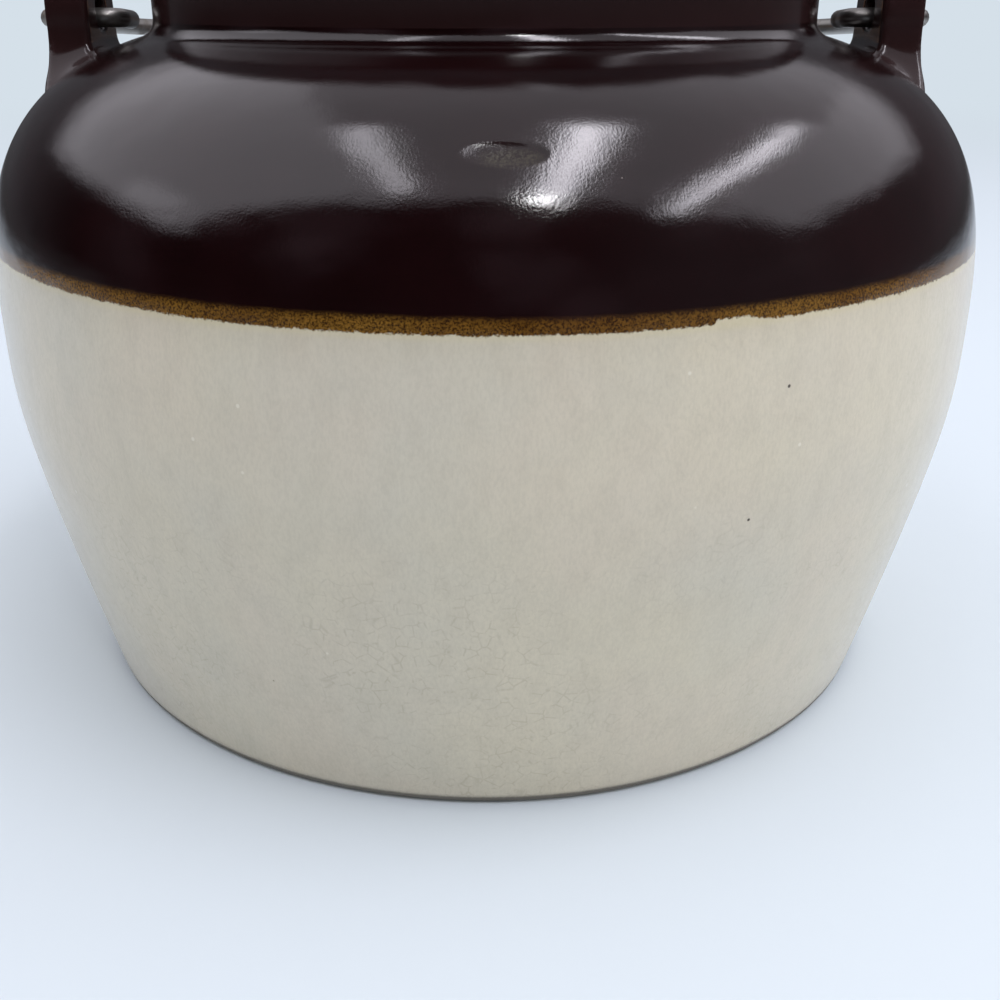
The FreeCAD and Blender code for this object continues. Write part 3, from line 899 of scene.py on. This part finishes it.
def flow_into_wall(surface, cove):
    """Spreads an ear's root in a soft cove against the wall, and lets its ends sink into the wall."""
    wall = SideProfile()
    sink = 2.5 * MM
    tail_start = shape().ear_half_width + 2.5 * MM
    tail_fade, tail_bend_radius = 6 * MM, 28 * MM
    surface.normal_update()
    for vert in surface.verts:
        distance, outward = wall.stand_off(vert.co)
        tail = max(abs(vert.co.y) - tail_start, 0.0)
        if distance < -sink:
            vert.co += outward * (-sink - distance)
        elif distance < cove:
            depth = min(cove - distance, cove)
            spread = cove - math.sqrt(max(cove ** 2 - depth ** 2, 0.0))
            sideways = vert.normal - outward * vert.normal.dot(outward)
            if sideways.length > 1e-4:
                vert.co += sideways.normalized() * spread * 0.6 * max(1 - tail / tail_fade, 0.0)
        if distance > -sink:
            vert.co -= outward * tail ** 2 / tail_bend_radius
    for _ in range(3):
        bmesh.ops.smooth_vert(
            surface, verts=surface.verts, factor=0.5, use_axis_x=True, use_axis_y=True, use_axis_z=True
        )
    surface.normal_update()


class POT_OT_ears(bpy.types.Operator):
    """Form the two ears that the bail hooks into"""

    bl_idname = "bean_pot.ears"
    bl_label = "Ears"

    def execute(self, context):
        right = make_ear_surface()
        left = right.copy()
        bmesh.ops.rotate(left, verts=left.verts, matrix=Matrix.Rotation(math.radians(180), 3, "Z"))
        for side, surface in (("right", right), ("left", left)):
            bmesh.ops.recalc_face_normals(surface, faces=surface.faces)
            mark_thin_glaze(surface)
            name = "ear_" + side
            new_piece("glazed_" + name, surface, "pot", [name], [shared_finish(brown_glaze)])
        return {"FINISHED"}


def bail_place():
    """Where the bail lies at rest: tilted down to the back about the hinge line."""
    return Matrix.Translation(HINGE) @ Matrix.Rotation(-DROOP, 4, "X")


class POT_OT_bail_wire(bpy.types.Operator):
    """Bend the bail from one wire that hooks through both ears and runs through the grip"""

    bl_idname = "bean_pot.bail_wire"
    bl_label = "Bail wire"

    def execute(self, context):
        pot = shape()
        inner_x = ear_levels()[0]
        ear_gap, grip_gap, hook_length = 1.5 * MM, 1.0 * MM, 10 * MM
        hook_bend, ear_bend, arm_bend, grip_bend = 3.5 * MM, 4.0 * MM, 65.0 * MM, 6.0 * MM
        hook_x = inner_x - ear_gap - pot.wire_radius
        arm_x = inner_x + EAR_THICKNESS + ear_gap + pot.wire_radius
        slope = math.radians(48.0)
        corner_x = GRIP_HALF_LENGTH + grip_gap + grip_bend * math.tan(slope / 2)
        drop = (arm_x - corner_x) * math.tan(slope)
        right = [(hook_x, hook_length), (hook_x, 0), (arm_x, 0), (arm_x, REACH - drop), (corner_x, REACH)]
        points = [Vector((x, y, 0)) for x, y in right + [(-x, y) for x, y in reversed(right)]]
        bends = [hook_bend, ear_bend, arm_bend, grip_bend]
        path = rounded(points, bends + bends[::-1], steps=24)
        curve = bpy.data.curves.new("wire_path", "CURVE")
        curve.dimensions = "3D"
        curve.bevel_depth = pot.wire_radius
        curve.bevel_resolution = 6
        curve.use_fill_caps = True
        spline = curve.splines.new("POLY")
        spline.points.add(len(path) - 1)
        for point, place in zip(spline.points, path):
            point.co = (*place, 1.0)
        draft = bpy.data.objects.new("wire_path", curve)
        bpy.context.scene.collection.objects.link(draft)
        mesh = mesh_of(draft)
        mesh.transform(bail_place())
        wire = bmesh.new()
        wire.from_mesh(mesh)
        bmesh.ops.remove_doubles(wire, verts=wire.verts, dist=TINY)
        bmesh.ops.recalc_face_normals(wire, faces=wire.faces)
        finishes, sharp = [shared_finish(drawn_steel)], math.radians(50)
        new_piece("bent_bail_wire", wire, "bail", ["bail_wire"], finishes, sharp)
        return {"FINISHED"}


class POT_OT_grip(bpy.types.Operator):
    """Turn the wooden grip with a groove and a collar at each end"""

    bl_idname = "bean_pot.grip"
    bl_label = "Grip"

    def execute(self, context):
        pot = shape()
        half, barrel_end, groove, taper = GRIP_HALF_LENGTH, GRIP_BARREL_HALF, 2.6 * MM, 5.0 * MM
        bore = pot.wire_radius + 0.3 * MM
        groove_radius, collar_radius, end_radius = 8.8 * MM, 10.2 * MM, 7.6 * MM
        barrel_end_radius = 10.6 * MM
        bow = pot.grip_radius - barrel_end_radius
        ball = (barrel_end ** 2 + bow ** 2) / (2 * bow)
        right_end = [
            (barrel_end, barrel_end_radius), (barrel_end + groove / 2, groove_radius),
            (barrel_end + groove, collar_radius), (half - taper, collar_radius),
            (half, end_radius), (half, bore),
        ]
        rounds = [radius * MM for radius in (0.6, 0.8, 4.0, 1.2)]
        right = rounded([Vector((x, radius, 0)) for x, radius in right_end], rounds, steps=10)
        left = [Vector((-point.x, point.y, 0)) for point in right[::-1]]
        steps = [barrel_end * (step / 15 - 1) for step in range(1, 30)]
        barrel = [Vector((x, pot.grip_radius - ball + math.sqrt(ball ** 2 - x * x), 0)) for x in steps]
        outline = spaced(left + barrel + right, 1.5 * MM)
        surface = spun(outline + [outline[0]], axis=(1, 0, 0), steps=8)
        hand_made(surface, depth=0.08 * MM, size=12 * MM)
        mark_thin_glaze(surface)
        bmesh.ops.translate(surface, verts=surface.verts, vec=GRIP_CENTRE)
        new_piece("turned_grip", surface, "grip", ["grip"], [shared_finish(turned_wood)])
        return {"FINISHED"}


# Stage


def area_light(name, low, high, height, radiance, tint=(1.0, 1.0, 1.0)):
    """A flat light that faces down and fills a rectangle at a height."""
    width, depth = high[0] - low[0], high[1] - low[1]
    light = bpy.data.lights.new(name, "AREA")
    light.shape = "RECTANGLE"
    light.size = width
    light.size_y = depth
    light.energy = radiance * math.pi * width * depth
    light.color = tint
    lamp = bpy.data.objects.new(name, light)
    lamp.location = ((low[0] + high[0]) / 2, (low[1] + high[1]) / 2, height)
    bpy.context.scene.collection.objects.link(lamp)


def make_lights():
    """The pale ceiling and the brighter strips that the brown glaze mirrors."""
    sky = (1.0, 0.97, 1.05)
    area_light("ceiling", (-3.0, -0.97), (3.0, 2.0), 1.21, 0.52, sky)
    area_light("ceiling_left", (-2.6, -0.85), (-0.42, 1.6), 1.20, 0.42, sky)
    area_light("ceiling_right", (1.2, -0.80), (2.6, 1.6), 1.20, 0.32, sky)
    area_light("strip_near", (0.21, -0.98), (0.38, 0.05), 1.20, 4.4, sky)
    area_light("strip_near_heart", (0.24, -0.95), (0.32, 0.00), 1.19, 5.5, sky)
    area_light("lamp_near", (0.19, -1.00), (0.30, -0.88), 1.18, 30.0)
    area_light("strip_right", (0.95, -1.05), (1.13, 0.45), 1.20, 4.0, sky)
    area_light("strip_right_heart", (0.99, -0.95), (1.07, 0.20), 1.19, 4.0, sky)
    area_light("strip_left", (-0.41, -0.82), (-0.30, 0.02), 1.20, 3.5, sky)
    area_light("patch_left", (-3.0, -0.75), (-1.55, 0.18), 1.20, 0.5, sky)
    area_light("patch_left_heart", (-2.5, -0.60), (-1.8, 0.10), 1.19, 0.5, sky)


def make_floor():
    """A wide pale floor that fades into the backdrop's own colour far from the pot."""
    ground = bmesh.new()
    bmesh.ops.create_circle(ground, cap_ends=True, segments=96, radius=12.0)
    mesh = bpy.data.meshes.new("pale_floor")
    ground.to_mesh(mesh)
    ground.free()
    floor = bpy.data.objects.new("pale_floor", mesh)
    bpy.context.scene.collection.objects.link(floor)
    coat = Coat("pale_floor", Roughness=0.75, Base_Color=(*finish().backdrop, 1.0))
    floor.data.materials.append(coat.material)
    far = coat.add("ShaderNodeVectorMath", {"operation": "LENGTH"}, {0: coat.place}, output="Value")
    is_camera = coat.add("ShaderNodeLightPath", output="Is Camera Ray")
    distant = coat.mix(is_camera, (0.07, 0.07, 0.075), linear(*BACKDROP_SEEN))
    glow = coat.add("ShaderNodeEmission", None, {"Color": distant, "Strength": 1.0})
    near = Signal(coat, coat.shader.outputs[0])
    blend = coat.add("ShaderNodeMixShader", None, {0: far.between(0.5, 1.6), 1: near, 2: glow})
    coat.tree.links.new(blend.socket, coat.tree.nodes["Material Output"].inputs["Surface"])


def make_world():
    """Pale to the camera, soft light from all round, and a dark room in front for reflections."""
    world = bpy.data.worlds.new("soft_studio")
    bpy.context.scene.world = world
    world.use_nodes = True
    room = Nodes(world.node_tree, "Generated")
    backwards, to_the_right = room.axis("Y"), room.axis("X")
    furnished = room.clouds(2.6, 4.0, 0.6).between(0.50, 0.72) * (1 - backwards.between(-0.4, 0.2))
    mirrored = room.mix(furnished, (0.004, 0.003, 0.003), (0.16, 0.11, 0.13))
    mirrored = room.mix(backwards.between(0.1, 0.9), mirrored, (0.09, 0.09, 0.10))
    mirrored = room.mix(to_the_right.between(0.2, 0.8) * 0.6, mirrored, (0.10, 0.09, 0.10))
    around = room.mix(to_the_right.between(-0.9, 0.9), (0.24, 0.24, 0.24), (0.78, 0.80, 0.84))
    is_camera = room.add("ShaderNodeLightPath", output="Is Camera Ray")
    is_glossy = room.add("ShaderNodeLightPath", output="Is Glossy Ray")
    soft = room.mix(is_glossy, around, mirrored)
    background = room.tree.nodes["Background"]
    room.feed(background.inputs["Color"], room.mix(is_camera, soft, linear(*BACKDROP_SEEN)))
    background.inputs["Strength"].default_value = 1.0


def make_camera():
    """The camera, close in front of the pot and looking down on its shoulder, as the photo's did."""
    lens = bpy.data.cameras.new("front_camera")
    lens.lens = 42.0
    lens.sensor_width = 36.0
    lens.clip_start = 0.01
    lens.shift_x = 0.015
    lens.shift_y = 0.002
    camera = bpy.data.objects.new("front_camera", lens)
    camera.location = (0.0, -0.277, 0.1444)
    camera.rotation_euler = (math.radians(66.3), 0.0, 0.0)
    bpy.context.scene.collection.objects.link(camera)
    bpy.context.scene.camera = camera


class POT_OT_stage(bpy.types.Operator):
    """Set the pale floor, the ceiling light, the soft fill and the camera"""

    bl_idname = "bean_pot.stage"
    bl_label = "Stage and camera"

    def execute(self, context):
        make_floor()
        make_lights()
        make_world()
        make_camera()
        context.scene.view_settings.view_transform = "Standard"
        return {"FINISHED"}


OPERATORS = (
    POT_OT_body,
    POT_OT_lid,
    POT_OT_lid_knob,
    POT_OT_ears,
    POT_OT_bail_wire,
    POT_OT_grip,
    POT_OT_stage,
)


class POT_PT_panel(bpy.types.Panel):
    """Lists the steps that build the pot"""

    bl_idname = "POT_PT_panel"
    bl_label = "Bean pot"
    bl_space_type = "VIEW_3D"
    bl_region_type = "UI"
    bl_category = "Bean pot"

    def draw(self, context):
        for operator in OPERATORS:
            self.layout.operator(operator.bl_idname)


CLASSES = (BeanPotShape, BeanPotFinish, *OPERATORS, POT_PT_panel)


def register():
    """Adds the settings, the steps and the panel to Blender."""
    for kind in CLASSES:
        bpy.utils.register_class(kind)
    bpy.types.Scene.bean_pot_shape = bpy.props.PointerProperty(type=BeanPotShape)
    bpy.types.Scene.bean_pot_finish = bpy.props.PointerProperty(type=BeanPotFinish)


def unregister():
    """Takes them away again."""
    del bpy.types.Scene.bean_pot_finish
    del bpy.types.Scene.bean_pot_shape
    for kind in reversed(CLASSES):
        bpy.utils.unregister_class(kind)


def main():
    """Builds every piece and the stage."""
    register()
    bpy.ops.bean_pot.body()
    bpy.ops.bean_pot.lid()
    bpy.ops.bean_pot.lid_knob()
    bpy.ops.bean_pot.ears()
    bpy.ops.bean_pot.bail_wire()
    bpy.ops.bean_pot.grip()
    bpy.ops.bean_pot.stage()


if __name__ == "__main__":
    main()
